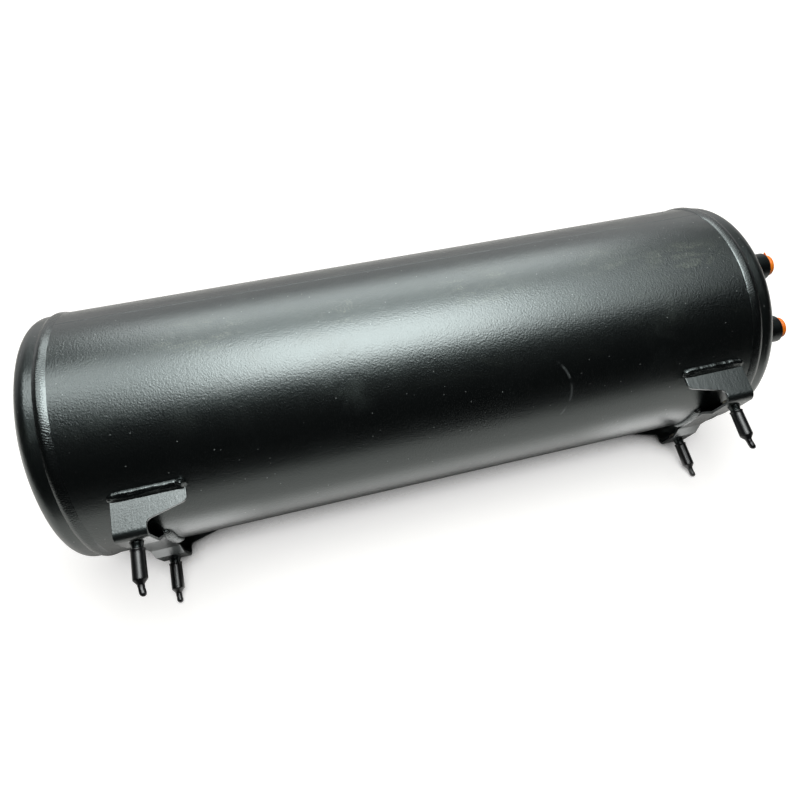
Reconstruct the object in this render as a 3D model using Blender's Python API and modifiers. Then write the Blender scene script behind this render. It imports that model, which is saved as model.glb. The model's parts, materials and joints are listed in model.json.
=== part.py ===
"""Steel air receiver tank with two welded saddle brackets, lying on its side.

The tank is built around its own long axis.  Two empties carry everything:

* tank_axis lies along world X, at the height where the girth welds meet the floor.
* mounting_frame hangs on it and is rolled about X.  In that frame the studs point
  to -Z, and -Y is the side that ends up on top once the tank lies down.

"plain" is the end without ports, at -X, and "ported" the end with two, at +X.
"upper" and "lower" name the two sides of a bracket as the tank lies.
All lengths are in metres.
"""
import math

import bmesh
import bpy
from mathutils import Vector

# ---- Clearance ---------------------------------------------------------------
FIT_GAP = 0.0003               # between pieces that touch

# ---- Shell -------------------------------------------------------------------
SHELL_RADIUS = 0.12065         # outside, a 9.5 inch tube
SHELL_WALL = 0.0025
SHELL_LENGTH = 0.646
SEAM_ANGLE = math.radians(127)  # from the stud direction towards the upper side
SEAM_OPENING = 0.0024          # between the rolled sheet's two edges
SEAM_CROWN_WIDTH = 0.0060
SEAM_CROWN_HEIGHT = 0.0006

# ---- Dished heads ------------------------------------------------------------
HEAD_WALL = 0.0028
HEAD_INSERTION = 0.020         # skirt inside the shell
HEAD_STEP = 0.0012             # the bare skirt stands this far inside the shell's outside
HEAD_CROWN_RADIUS = 0.250      # outside of the dome
HEAD_KNUCKLE_RADIUS = 0.013    # outside of the knuckle
HEAD_STRAIGHT = 0.0055         # skirt left bare beyond the girth weld
JOGGLE_START = 0.0030          # where the skirt starts to widen, beyond the shell's edge
JOGGLE_END = 0.0085

# ---- Girth welds -------------------------------------------------------------
GIRTH_WELD_OVERLAP = 0.0020    # of the bead on the shell
GIRTH_WELD_REACH = 0.0100      # from the shell's edge onto the head
GIRTH_WELD_CROWN = 0.00125     # proud of the shell

# ---- Saddle brackets ---------------------------------------------------------
SHEET = 0.0030
STUD_INSET = {"plain": 0.0434, "ported": 0.0270}  # of the studs from the shell's end
STUD_OFFSET = 0.0600           # of each stud from the bracket's middle plane
STUD_TO_WALL = 0.0180          # from a stud to the outer face of the side wall
STUD_TO_RAMP = 0.0170          # from a stud to the foot's other end
RAMP_RUN = 0.0160
STRIP_HALF_WIDTH = 0.0140
WING_INBOARD = 0.0490          # the wing's far edge, from the studs' X
WING_DEPTH = 0.0120            # of the wing's short inboard edge
WING_TAPER = 0.0095            # rise of its sloping edge
WING_CORNER_RADIUS = 0.0055
WALL_HEIGHT = 0.0346           # from the side wall's welded edge to the foot's outer face
BEND_RADIUS = 0.0080           # outside

# ---- Bracket welds -----------------------------------------------------------
STRIP_WELD_WIDTH = 0.0075
STRIP_WELD_HEIGHT = 0.0042
WALL_WELD_ON_SHELL = 0.0064
WALL_WELD_ON_WALL = 0.0034
WALL_WELD_BULGE = 0.0024
WALL_WELD_OVERRUN = 0.0020     # past the wall's two edges

# ---- Studs and their pull-off caps -------------------------------------------
STUD_RADIUS = 0.0047625        # 3/8 inch thread
STUD_LENGTH = 0.0305           # beyond the foot
STUD_HEAD_LAND = 0.0037        # of the head past the thread
STUD_HEAD_THICKNESS = 0.0038
STUD_COLLAR_WALL = 0.0011      # of the thicker part that passes through the foot
STUD_COLLAR_HEIGHT = 0.0026
STUD_COLLAR_TAPER = 0.0009
STUD_CHAMFER = 0.0012
CAP_MOUTH_GAP = 0.0018         # from the collar to the cap's mouth
CAP_WALL = 0.0013
CAP_END_WALL = 0.0008          # of the sleeve, beyond the stud's end
CAP_SHOULDER = 0.0036
CAP_NUB_LENGTH = 0.0106
CAP_TIP_RADIUS = 0.0031

# ---- Ports -------------------------------------------------------------------
PORT_ANGLES = {"upper": math.radians(94), "lower": math.radians(45)}
PORT_INSET = 0.0070            # of the boss's weld from the knuckle
PORT_BORE_RADIUS = 0.0092
PORT_WALL = 0.0048
PORT_FACE = 0.0155             # the boss's face, beyond the dome at the port's centre
PORT_DEPTH = 0.0110            # of the boss inside the dome, from the same place
PORT_WELD_WIDTH = 0.0045
PORT_WELD_HEIGHT = 0.0045
PLUG_FLANGE_LAND = 0.0016      # of the flange past the bore
PLUG_FLANGE_THICKNESS = 0.0064
PLUG_STEM_LENGTH = 0.0090
PLUG_WALL = 0.0014
PLUG_TAB_WIDTH = 0.0052
PLUG_TAB_THICKNESS = 0.0016
PLUG_TAB_REACH = 0.0034        # past the flange's edge
PLUG_TAB_ANGLES = {"upper": math.radians(213), "lower": math.radians(135)}

# ---- How finely round shapes are divided -------------------------------------
TANK_SEGMENTS = 64
SMALL_SEGMENTS = 16
PORT_SEGMENTS = 24
SMOOTH_ANGLE = math.radians(32)

# ---- Sizes that follow -------------------------------------------------------
SKIRT_RADIUS = SHELL_RADIUS - SHELL_WALL - FIT_GAP
HEAD_RADIUS = SHELL_RADIUS - HEAD_STEP
GIRTH_WELD_TOE = SHELL_LENGTH / 2 + GIRTH_WELD_REACH
KNUCKLE_START = GIRTH_WELD_TOE + HEAD_STRAIGHT
GIRTH_WELD_RADIUS = SHELL_RADIUS + GIRTH_WELD_CROWN
CENTER_FLAT_FACE = SHELL_RADIUS + FIT_GAP + SHEET
WALL_OFFSET = STUD_OFFSET + STUD_TO_WALL
RAMP_END = STUD_OFFSET - STUD_TO_RAMP
CENTER_FLAT_HALF = RAMP_END - RAMP_RUN
WALL_TOP_DEPTH = math.sqrt((SHELL_RADIUS + FIT_GAP) ** 2 - (WALL_OFFSET - SHEET) ** 2)
FOOT_FACE = WALL_TOP_DEPTH + WALL_HEIGHT
STUD_COLLAR_RADIUS = STUD_RADIUS + STUD_COLLAR_WALL
STUD_HOLE_RADIUS = STUD_COLLAR_RADIUS + FIT_GAP
STUD_COLLAR_END = FIT_GAP + STUD_COLLAR_HEIGHT + STUD_COLLAR_TAPER
CAP_START = STUD_COLLAR_END + CAP_MOUTH_GAP
CAP_RADIUS = STUD_RADIUS + FIT_GAP + CAP_WALL
CAP_BODY_END = STUD_LENGTH + FIT_GAP + CAP_END_WALL
CAP_NECK_START = CAP_BODY_END + CAP_SHOULDER
CAP_TIP_END = CAP_NECK_START + CAP_NUB_LENGTH
PORT_RADIUS = PORT_BORE_RADIUS + PORT_WALL
PORT_CIRCLE = HEAD_RADIUS - HEAD_KNUCKLE_RADIUS - PORT_INSET - PORT_WELD_WIDTH - PORT_RADIUS
PLUG_FLANGE_RADIUS = PORT_BORE_RADIUS + PLUG_FLANGE_LAND
ENDS = {"plain": -1, "ported": 1}
SIDES = {"upper": 1, "lower": -1}
STUD_X = {end: ENDS[end] * (SHELL_LENGTH / 2 - inset) for end, inset in STUD_INSET.items()}


def crown_center_x():
    """X of the dome's centre of curvature, for the ported end."""
    rise = HEAD_CROWN_RADIUS - HEAD_KNUCKLE_RADIUS
    reach = HEAD_RADIUS - HEAD_KNUCKLE_RADIUS
    return KNUCKLE_START - math.sqrt(rise ** 2 - reach ** 2)


def dome_x(radius):
    """X of the dome's outer surface at a distance from the tank's axis."""
    return crown_center_x() + math.sqrt(HEAD_CROWN_RADIUS ** 2 - radius ** 2)


def lying_angle():
    """Angle of the studs below the horizontal when the lower caps touch the floor."""
    tip_depth = FOOT_FACE + CAP_TIP_END - CAP_TIP_RADIUS
    tip_distance = math.hypot(tip_depth, STUD_OFFSET)
    drop = GIRTH_WELD_RADIUS - CAP_TIP_RADIUS
    return math.asin(drop / tip_distance) - math.atan2(STUD_OFFSET, tip_depth)


# ---- Scene, collections, materials -------------------------------------------
def start_collections():
    """Empty the scene and return the collections for the parts and the cutters."""
    for old in list(bpy.data.objects):
        bpy.data.objects.remove(old, do_unlink=True)
    parts = bpy.data.collections.new("air_receiver_tank")
    cutters = bpy.data.collections.new("cutters")
    bpy.context.scene.collection.children.link(parts)
    bpy.context.scene.collection.children.link(cutters)
    return parts, cutters


def make_material(name, color, roughness, metallic):
    """Return a plain Principled material."""
    material = bpy.data.materials.new(name)
    material.use_nodes = True
    shader = material.node_tree.nodes["Principled BSDF"]
    shader.inputs["Base Color"].default_value = (*color, 1.0)
    shader.inputs["Roughness"].default_value = roughness
    shader.inputs["Metallic"].default_value = metallic
    return material


def make_empty(name, collection, parent=None):
    """Return a plain-axes empty."""
    empty = bpy.data.objects.new(name, None)
    empty.empty_display_size = 0.05
    empty.parent = parent
    collection.objects.link(empty)
    return empty


# ---- Shape helpers -----------------------------------------------------------
def object_from_bmesh(name, bm, collection, parent, material=None):
    """Turn a bmesh into a named object under a parent."""
    mesh = bpy.data.meshes.new(name)
    bm.to_mesh(mesh)
    bm.free()
    obj = bpy.data.objects.new(name, mesh)
    obj.parent = parent
    collection.objects.link(obj)
    if material:
        mesh.materials.append(material)
    return obj


def arc(center, radius, start, end, steps):
    """Points on an arc in a plane, from the start angle to the end angle."""
    points = []
    for step in range(steps + 1):
        angle = start + (end - start) * step / steps
        points.append((center[0] + radius * math.cos(angle), center[1] + radius * math.sin(angle)))
    return points


def rounded_corner(before, corner, after, radius, steps):
    """Points that round the corner between two straight edges."""
    corner = Vector(corner)
    to_before = (Vector(before) - corner).normalized()
    to_after = (Vector(after) - corner).normalized()
    half = to_before.angle(to_after) / 2
    center = corner + (to_before + to_after).normalized() * (radius / math.sin(half))
    first = corner + to_before * (radius / math.tan(half)) - center
    last = corner + to_after * (radius / math.tan(half)) - center
    start = math.atan2(first.y, first.x)
    sweep = math.remainder(math.atan2(last.y, last.x) - start, 2 * math.pi)
    return arc(center, radius, start, start + sweep, steps)


def turned(name, outline, segments, collection, parent, material, closed=False):
    """Spin an outline of (radius, height) points about the object's own Z.

    The outline runs down the outer side.  A closed one is a ring, an open one
    starts and ends on the axis.
    """
    bm = bmesh.new()
    points = [bm.verts.new((radius, 0, height)) for radius, height in outline]
    for first, second in zip(points, points[1:]):
        bm.edges.new((first, second))
    if closed:
        bm.edges.new((points[-1], points[0]))
    obj = object_from_bmesh(name, bm, collection, parent, material)
    screw = obj.modifiers.new("turn", "SCREW")
    screw.axis = "Z"
    screw.steps = segments
    screw.render_steps = segments
    screw.use_merge_vertices = True
    screw.merge_threshold = 0.00001
    return obj


def lofted(name, sections, collection, parent, material):
    """Join closed sections of equal point counts into one capped solid."""
    bm = bmesh.new()
    rings = [[bm.verts.new(point) for point in section] for section in sections]
    for ring, following in zip(rings, rings[1:]):
        for index in range(len(ring)):
            after = (index + 1) % len(ring)
            bm.faces.new((ring[index], ring[after], following[after], following[index]))
    bm.faces.new(rings[0])
    bm.faces.new(list(reversed(rings[-1])))
    bmesh.ops.recalc_face_normals(bm, faces=bm.faces)
    return object_from_bmesh(name, bm, collection, parent, material)


def join(obj, addition):
    """Unite an object with a hidden one."""
    boolean = obj.modifiers.new(addition.name, "BOOLEAN")
    boolean.operation = "UNION"
    boolean.solver = "EXACT"
    boolean.object = addition


def cylinder_cutter(name, radius, length, collection, parent, location, rotation, segments):
    """Return a hidden cylinder that cuts along its own Z."""
    bm = bmesh.new()
    bmesh.ops.create_cone(
        bm, cap_ends=True, segments=segments, radius1=radius, radius2=radius, depth=length
    )
    cutter = object_from_bmesh(name, bm, collection, parent)
    cutter.location = location
    cutter.rotation_euler = rotation
    cutter.display_type = "WIRE"
    cutter.hide_render = True
    return cutter


def cut(obj, cutter):
    """Subtract a cutter from an object."""
    boolean = obj.modifiers.new(cutter.name, "BOOLEAN")
    boolean.operation = "DIFFERENCE"
    boolean.solver = "EXACT"
    boolean.object = cutter


def apply_and_shade(obj):
    """Apply an object's modifiers and shade it smooth with crisp corners."""
    depsgraph = bpy.context.evaluated_depsgraph_get()
    mesh = bpy.data.meshes.new_from_object(obj.evaluated_get(depsgraph))
    obj.modifiers.clear()
    obj.data = mesh
    mesh.shade_smooth()
    mesh.set_sharp_from_angle(angle=SMOOTH_ANGLE)


def on_circle(radius, angle):
    """(Y, Z) in the mounting frame at an angle from the studs towards the upper side."""
    return -radius * math.sin(angle), -radius * math.cos(angle)


# ---- Pressure vessel ---------------------------------------------------------
def build_shell(parts, frame, material):
    """Rolled sheet, open along its seam."""
    half_opening = SEAM_OPENING / 2 / SHELL_RADIUS
    sweep = 2 * math.pi - 2 * half_opening
    bm = bmesh.new()
    rings = []
    for x in (-SHELL_LENGTH / 2, SHELL_LENGTH / 2):
        ring = []
        for step in range(TANK_SEGMENTS + 1):
            angle = SEAM_ANGLE + half_opening + sweep * step / TANK_SEGMENTS
            ring.append(bm.verts.new((x, *on_circle(SHELL_RADIUS, angle))))
        rings.append(ring)
    for step in range(TANK_SEGMENTS):
        bm.faces.new((rings[0][step], rings[0][step + 1], rings[1][step + 1], rings[1][step]))
    bm.faces.ensure_lookup_table()
    bm.normal_update()
    middle = bm.faces[0].calc_center_median()
    if bm.faces[0].normal.dot(Vector((0, middle.y, middle.z))) < 0:
        bmesh.ops.reverse_faces(bm, faces=bm.faces)
    shell = object_from_bmesh("shell", bm, parts, frame, material)
    solidify = shell.modifiers.new("wall", "SOLIDIFY")
    solidify.thickness = SHELL_WALL
    solidify.offset = -1
    solidify.use_even_offset = True
    return shell


def build_seam_weld(parts, frame, material):
    """Long bead that fills the shell's seam: flush inside, with a low crown outside."""
    crown_base = SHELL_RADIUS + FIT_GAP
    web_half = SEAM_OPENING / 2 - FIT_GAP
    crown_half = SEAM_CROWN_WIDTH / 2
    outline = [
        (-crown_half, crown_base),
        (-web_half, crown_base),
        (-web_half, SHELL_RADIUS - SHELL_WALL),
        (web_half, SHELL_RADIUS - SHELL_WALL),
        (web_half, crown_base),
        (crown_half, crown_base),
        (crown_half * 0.6, SHELL_RADIUS + SEAM_CROWN_HEIGHT),
        (0, SHELL_RADIUS + SEAM_CROWN_HEIGHT * 1.15),
        (-crown_half * 0.6, SHELL_RADIUS + SEAM_CROWN_HEIGHT),
    ]
    outward = Vector((0, *on_circle(1, SEAM_ANGLE)))
    sideways = Vector((1, 0, 0)).cross(outward)
    half_length = SHELL_LENGTH / 2 - GIRTH_WELD_OVERLAP - FIT_GAP
    sections = []
    for x in (-half_length, half_length):
        sections.append(
            [Vector((x, 0, 0)) + sideways * across + outward * radius for across, radius in outline]
        )
    return lofted("seam_weld", sections, parts, frame, material)


def head_outline():
    """Outline of a dished head: dome, knuckle and stepped skirt, outside then inside."""
    center = crown_center_x()
    reach = HEAD_RADIUS - HEAD_KNUCKLE_RADIUS
    tangent = math.asin(reach / (HEAD_CROWN_RADIUS - HEAD_KNUCKLE_RADIUS))
    crown_steps = 4
    knuckle_steps = 4
    quarter = math.pi / 2

    def wall_line(inset):
        crown = arc((0, center), HEAD_CROWN_RADIUS - inset, quarter, quarter - tangent, crown_steps)
        crown[0] = (0.0, center + HEAD_CROWN_RADIUS - inset)
        knuckle = arc(
            (reach, KNUCKLE_START), HEAD_KNUCKLE_RADIUS - inset, quarter - tangent, 0, knuckle_steps
        )
        skirt = [
            (HEAD_RADIUS - inset, SHELL_LENGTH / 2 + JOGGLE_END),
            (SKIRT_RADIUS - inset, SHELL_LENGTH / 2 + JOGGLE_START),
            (SKIRT_RADIUS - inset, SHELL_LENGTH / 2 - HEAD_INSERTION),
        ]
        return crown + knuckle[1:] + skirt

    return wall_line(0) + list(reversed(wall_line(HEAD_WALL)))


def girth_weld_outline():
    """Ring that caps the shell's edge, fills the step and slopes down to the skirt."""
    edge = SHELL_LENGTH / 2
    bare_skirt = HEAD_RADIUS + FIT_GAP
    inner_skirt = SKIRT_RADIUS + FIT_GAP
    over_shell = SHELL_RADIUS + FIT_GAP
    drop = GIRTH_WELD_RADIUS - bare_skirt
    return [
        (bare_skirt, GIRTH_WELD_TOE),
        (bare_skirt + 0.55 * drop, edge + 0.76 * GIRTH_WELD_REACH),
        (bare_skirt + 0.93 * drop, edge + 0.54 * GIRTH_WELD_REACH),
        (GIRTH_WELD_RADIUS, edge + 0.38 * GIRTH_WELD_REACH),
        (GIRTH_WELD_RADIUS - 0.36 * GIRTH_WELD_CROWN, edge + 0.04 * GIRTH_WELD_REACH),
        (over_shell, edge - GIRTH_WELD_OVERLAP),
        (over_shell, edge + FIT_GAP),
        (inner_skirt, edge + FIT_GAP),
        (inner_skirt, edge + JOGGLE_START - FIT_GAP),
        (bare_skirt, edge + JOGGLE_END - FIT_GAP),
    ]


def build_end(end, parts, cutters, axis, frame, steel, weld):
    """Head and girth weld of one end.  Both are turned about the tank's axis."""
    tilt = (0, ENDS[end] * math.pi / 2, 0)
    head = turned(end + "_head", head_outline(), TANK_SEGMENTS, parts, axis, steel)
    head.rotation_euler = tilt
    bead = turned(
        end + "_girth_weld", girth_weld_outline(), TANK_SEGMENTS, parts, axis, weld, closed=True
    )
    bead.rotation_euler = tilt
    made = [head, bead]
    if end == "ported":
        for side, angle in PORT_ANGLES.items():
            hole = cylinder_cutter(
                side + "_port_hole", PORT_RADIUS + FIT_GAP, 4 * PORT_FACE, cutters, frame,
                port_location(angle), (0, math.pi / 2, 0), PORT_SEGMENTS,
            )
            cut(head, hole)
    return made


# ---- Ports -------------------------------------------------------------------
def port_location(angle):
    """Point on the dome at a port's centre, in the mounting frame."""
    return dome_x(PORT_CIRCLE), *on_circle(PORT_CIRCLE, angle)


def port_boss_outline():
    """Threaded boss: a thick ring with a countersunk mouth, wide enough for the plug's flange."""
    chamfer = 0.0010
    mouth_radius = PLUG_FLANGE_RADIUS + FIT_GAP
    return [
        (PORT_RADIUS - chamfer, PORT_FACE),
        (PORT_RADIUS, PORT_FACE - chamfer),
        (PORT_RADIUS, -PORT_DEPTH),
        (PORT_BORE_RADIUS, -PORT_DEPTH),
        (PORT_BORE_RADIUS, PORT_FACE - chamfer),
        (mouth_radius, PORT_FACE),
    ]


def build_port_weld(side, angle, parts, frame, material):
    """Fillet bead in the corner between a boss and the sloping dome."""
    center = Vector(port_location(angle))
    inner = PORT_RADIUS + FIT_GAP
    sections = []
    for step in range(PORT_SEGMENTS):
        turn = 2 * math.pi * step / PORT_SEGMENTS
        spoke = Vector((0, math.cos(turn), math.sin(turn)))
        section = []
        for across, height in ((0, 0), (1, 0), (0.72, 0.42), (0.36, 0.78), (0, 1)):
            place = Vector((0, center.y, center.z)) + spoke * (inner + across * PORT_WELD_WIDTH)
            place.x = dome_x(math.hypot(place.y, place.z)) + FIT_GAP + height * PORT_WELD_HEIGHT
            section.append(place)
        sections.append(section)
    bm = bmesh.new()
    rings = [[bm.verts.new(point) for point in section] for section in sections]
    for ring, following in zip(rings, rings[1:] + rings[:1]):
        for index in range(len(ring)):
            after = (index + 1) % len(ring)
            bm.faces.new((ring[index], ring[after], following[after], following[index]))
    bmesh.ops.recalc_face_normals(bm, faces=bm.faces)
    return object_from_bmesh(side + "_port_weld", bm, parts, frame, material)


def port_plug_outline():
    """Hollow push-in plug: a flange on the boss's face and a stem in the bore."""
    stem = PORT_BORE_RADIUS - FIT_GAP
    face = PORT_FACE + FIT_GAP
    top = face + PLUG_FLANGE_THICKNESS
    bottom = face - PLUG_STEM_LENGTH
    rounding = 0.0012
    return [
        (0, face),
        (stem - PLUG_WALL, face),
        (stem - PLUG_WALL, bottom),
        (stem - 0.0005, bottom),
        (stem, face - 0.0012),
        (stem, face),
        (PLUG_FLANGE_RADIUS - 0.0004, face),
        (PLUG_FLANGE_RADIUS, top - rounding),
        (PLUG_FLANGE_RADIUS - rounding, top),
        (PLUG_FLANGE_RADIUS - 2 * PLUG_WALL, top),
        (PLUG_FLANGE_RADIUS - 2.4 * PLUG_WALL, face + PLUG_WALL),
        (0, face + PLUG_WALL),
    ]


def build_plug_tab(side, cutters, plug):
    """Flat pull tab in the plane of a plug's top, standing out past its flange."""
    length = 2 * PLUG_WALL + PLUG_TAB_REACH
    bm = bmesh.new()
    bmesh.ops.create_cube(bm, size=1)
    bmesh.ops.scale(bm, vec=(length, PLUG_TAB_WIDTH, PLUG_TAB_THICKNESS), verts=bm.verts)
    middle = PLUG_FLANGE_RADIUS + PLUG_TAB_REACH - length / 2
    height = PORT_FACE + FIT_GAP + 0.6 * PLUG_FLANGE_THICKNESS
    bmesh.ops.translate(bm, vec=(middle, 0, height), verts=bm.verts)
    tab = object_from_bmesh(side + "_plug_tab", bm, cutters, plug)
    tab.rotation_euler = (0, 0, PLUG_TAB_ANGLES[side])
    tab.display_type = "WIRE"
    tab.hide_render = True
    return tab


def build_port(side, angle, parts, cutters, frame, materials):
    """Boss, weld and plug of one port."""
    location = port_location(angle)
    boss = turned(
        side + "_port_boss", port_boss_outline(), PORT_SEGMENTS, parts, frame, materials["steel"],
        closed=True,
    )
    plug = turned(
        side + "_port_plug", list(reversed(port_plug_outline())), PORT_SEGMENTS, parts, frame,
        materials["plug"],
    )
    for obj in (boss, plug):
        obj.location = location
        obj.rotation_euler = (0, math.pi / 2, 0)
    join(plug, build_plug_tab(side, cutters, plug))
    return [boss, build_port_weld(side, angle, parts, frame, materials["weld"]), plug]


# ---- Saddle brackets ---------------------------------------------------------
def wing_edge():
    """Inboard edge of a side wall as (offset from the studs' X, depth), going up."""
    wing_bottom = WALL_TOP_DEPTH + WING_DEPTH
    notch = wing_bottom + WING_TAPER
    foot = (STRIP_HALF_WIDTH, FOOT_FACE - BEND_RADIUS)
    inner_corner = (STRIP_HALF_WIDTH, notch)
    outer_corner = (WING_INBOARD, wing_bottom)
    top_corner = (WING_INBOARD, WALL_TOP_DEPTH)
    edge = rounded_corner(foot, inner_corner, outer_corner, WING_CORNER_RADIUS, 4)
    edge += rounded_corner(inner_corner, outer_corner, top_corner, WING_CORNER_RADIUS, 4)
    return edge + [top_corner]


def saddle_rows():
    """Rows (offset from the middle plane, depth, inboard reach) from middle to wall top."""
    bend = arc((WALL_OFFSET - BEND_RADIUS, FOOT_FACE - BEND_RADIUS), BEND_RADIUS, math.pi / 2, 0, 5)
    rows = [
        (0.0, CENTER_FLAT_FACE, STRIP_HALF_WIDTH),
        (CENTER_FLAT_HALF, CENTER_FLAT_FACE, STRIP_HALF_WIDTH),
        (RAMP_END, FOOT_FACE, STRIP_HALF_WIDTH),
    ]
    rows += [(offset, depth, STRIP_HALF_WIDTH) for offset, depth in bend]
    rows += [(WALL_OFFSET, depth, reach) for reach, depth in wing_edge()]
    return rows


def build_saddle(end, parts, cutters, frame, material):
    """One folded sheet: centre flat, two ramps, two feet and two winged side walls."""
    outboard = ENDS[end]
    bm = bmesh.new()
    previous = None
    for offset, depth, reach in saddle_rows():
        columns = (STRIP_HALF_WIDTH, -reach)
        row = [bm.verts.new((outboard * column, -offset, -depth)) for column in columns]
        if previous:
            bm.faces.new((previous[0], previous[1], row[1], row[0]))
        previous = row
    bm.faces.ensure_lookup_table()
    bm.normal_update()
    if bm.faces[0].normal.z > 0:
        bmesh.ops.reverse_faces(bm, faces=bm.faces)
    saddle = object_from_bmesh(end + "_saddle", bm, parts, frame, material)
    saddle.location.x = STUD_X[end]
    mirror = saddle.modifiers.new("other_side", "MIRROR")
    mirror.use_axis = (False, True, False)
    mirror.merge_threshold = 0.00001
    solidify = saddle.modifiers.new("sheet", "SOLIDIFY")
    solidify.thickness = SHEET
    solidify.offset = -1
    solidify.use_even_offset = True
    for side, sign in SIDES.items():
        hole = cylinder_cutter(
            end + "_" + side + "_stud_hole", STUD_HOLE_RADIUS, 4 * SHEET, cutters, frame,
            (STUD_X[end], -sign * STUD_OFFSET, -FOOT_FACE), (0, 0, 0), SMALL_SEGMENTS,
        )
        cut(saddle, hole)
    return saddle


def build_strip_weld(end, edge_name, edge_sign, parts, frame, material):
    """Fillet bead between the shell and one edge of a saddle's centre flat."""
    base = SHELL_RADIUS + FIT_GAP
    half_sweep = math.asin(CENTER_FLAT_HALF / SHELL_RADIUS)
    direction = ENDS[end] * edge_sign
    steps = 10
    sections = []
    for step in range(steps + 1):
        along = 2 * step / steps - 1
        size = math.sqrt(1 - 0.75 * along ** 6)
        section = []
        for across, height in ((0, 0), (1, 0), (0.78, 0.5), (0.4, 0.88), (0, 1)):
            x = STRIP_HALF_WIDTH + FIT_GAP + across * STRIP_WELD_WIDTH * size
            radius = base + height * STRIP_WELD_HEIGHT * size
            section.append((direction * x, *on_circle(radius, along * half_sweep)))
        sections.append(section)
    name = end + "_" + edge_name + "_strip_weld"
    bead = lofted(name, sections, parts, frame, material)
    bead.location.x = STUD_X[end]
    return bead


def build_wall_weld(end, side, parts, frame, material):
    """Bead along the top edge of a side wall, in its corner with the shell."""
    shell = SHELL_RADIUS + FIT_GAP
    face = WALL_OFFSET + FIT_GAP
    corner_angle = math.asin(face / shell)
    corner_depth = shell * math.cos(corner_angle)
    start = -STRIP_HALF_WIDTH - WALL_WELD_OVERRUN
    end_x = WING_INBOARD + WALL_WELD_OVERRUN
    steps = 12
    sections = []
    for step in range(steps + 1):
        along = step / steps
        size = math.sqrt(1 - 0.7 * (2 * along - 1) ** 8)
        shell_angle = corner_angle + WALL_WELD_ON_SHELL * size / shell
        on_wall = Vector((face, WALL_TOP_DEPTH + WALL_WELD_ON_WALL * size))
        on_shell = Vector((shell * math.sin(shell_angle), shell * math.cos(shell_angle)))
        corner = Vector((face, corner_depth))
        crown = (on_wall + on_shell) / 2
        outward = (crown - corner).normalized() * WALL_WELD_BULGE * size
        outline = [corner, on_shell]
        for share in (0.25, 0.5, 0.75):
            bulge = outward * math.sin(math.pi * share)
            outline.append(on_shell.lerp(on_wall, share) + bulge)
        outline.append(on_wall)
        x = -ENDS[end] * (start + (end_x - start) * along)
        sections.append([(x, -SIDES[side] * offset, -depth) for offset, depth in outline])
    bead = lofted(end + "_" + side + "_wall_weld", sections, parts, frame, material)
    bead.location.x = STUD_X[end]
    return bead


# ---- Studs and caps ----------------------------------------------------------
def stud_outline():
    """Stud whose head lies inside the foot and whose collar passes through it.

    Heights count outwards from the foot's face.
    """
    head = -SHEET - FIT_GAP
    head_radius = STUD_RADIUS + STUD_HEAD_LAND
    head_chamfer = 0.0008
    return [
        (0, head - STUD_HEAD_THICKNESS),
        (head_radius - head_chamfer, head - STUD_HEAD_THICKNESS),
        (head_radius, head - STUD_HEAD_THICKNESS + head_chamfer),
        (head_radius, head),
        (STUD_COLLAR_RADIUS, head),
        (STUD_COLLAR_RADIUS, FIT_GAP),
        (STUD_COLLAR_RADIUS - 0.35 * STUD_COLLAR_WALL, STUD_COLLAR_END - STUD_COLLAR_TAPER),
        (STUD_RADIUS, STUD_COLLAR_END),
        (STUD_RADIUS, STUD_LENGTH - STUD_CHAMFER),
        (STUD_RADIUS - STUD_CHAMFER, STUD_LENGTH),
        (0, STUD_LENGTH),
    ]


def cap_outline():
    """Pull-off cap: a sleeve over the thread and a nub to pull it by."""
    bore = STUD_RADIUS + FIT_GAP
    bore_end = STUD_LENGTH + FIT_GAP
    tip_center = CAP_TIP_END - CAP_TIP_RADIUS
    tip = arc((0, tip_center), CAP_TIP_RADIUS, 0, math.pi / 2, 4)
    tip[-1] = (0, CAP_TIP_END)
    return [
        (0, bore_end),
        (bore, bore_end),
        (bore, CAP_START),
        (CAP_RADIUS - 0.4 * CAP_WALL, CAP_START),
        (CAP_RADIUS, CAP_START + 0.6 * CAP_WALL),
        (CAP_RADIUS, CAP_BODY_END),
        (1.15 * CAP_TIP_RADIUS, CAP_NECK_START),
    ] + tip


def build_stud(end, side, parts, frame, steel, vinyl):
    """Stud and cap, both turned about the stud's axis with Z pointing out of the foot."""
    stud = turned(
        end + "_" + side + "_stud", list(reversed(stud_outline())), SMALL_SEGMENTS, parts, frame,
        steel,
    )
    cap = turned(
        end + "_" + side + "_stud_cap", list(reversed(cap_outline())), SMALL_SEGMENTS, parts, frame,
        vinyl,
    )
    for obj in (stud, cap):
        obj.location = (STUD_X[end], -SIDES[side] * STUD_OFFSET, -FOOT_FACE)
        obj.rotation_euler = (math.pi, 0, 0)
    return [stud, cap]


# ---- Placing -----------------------------------------------------------------
def stand_on_origin(made, axis):
    """Move everything so that the origin is the middle of the box's bottom face."""
    bpy.context.view_layer.update()
    corners = [obj.matrix_world @ vert.co for obj in made for vert in obj.data.vertices]
    low = Vector([min(corner[index] for corner in corners) for index in range(3)])
    high = Vector([max(corner[index] for corner in corners) for index in range(3)])
    axis.location -= Vector(((low.x + high.x) / 2, (low.y + high.y) / 2, low.z))
    bpy.context.view_layer.update()


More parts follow.
